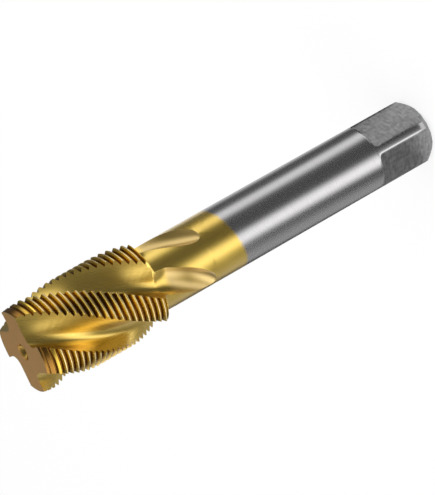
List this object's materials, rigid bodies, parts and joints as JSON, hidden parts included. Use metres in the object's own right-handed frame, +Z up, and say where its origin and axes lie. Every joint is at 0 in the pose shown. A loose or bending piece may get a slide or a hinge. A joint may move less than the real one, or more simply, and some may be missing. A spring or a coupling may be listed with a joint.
{
  "type": "thread tap",
  "caption": "Spiral-flute machine tap with a coated fluted cutting head, a plain round shank and a square driving end.",
  "frame": {"origin": "the centre of the end face of the driving square, on which the tap stands", "axes": "+Z up along the axis to the tip face, +X and +Y square to flats of the driving square; the first cutting edge at the tip is 46.5 degrees past +Y towards +X"},
  "size_m": [0.022, 0.022, 0.113],
  "materials": {
    "tool_steel": "ground high-speed steel, titanium nitride coat on the head"
  },
  "bodies": {
    "root": {"tap": "tool_steel"}
  },
  "joints": []
}
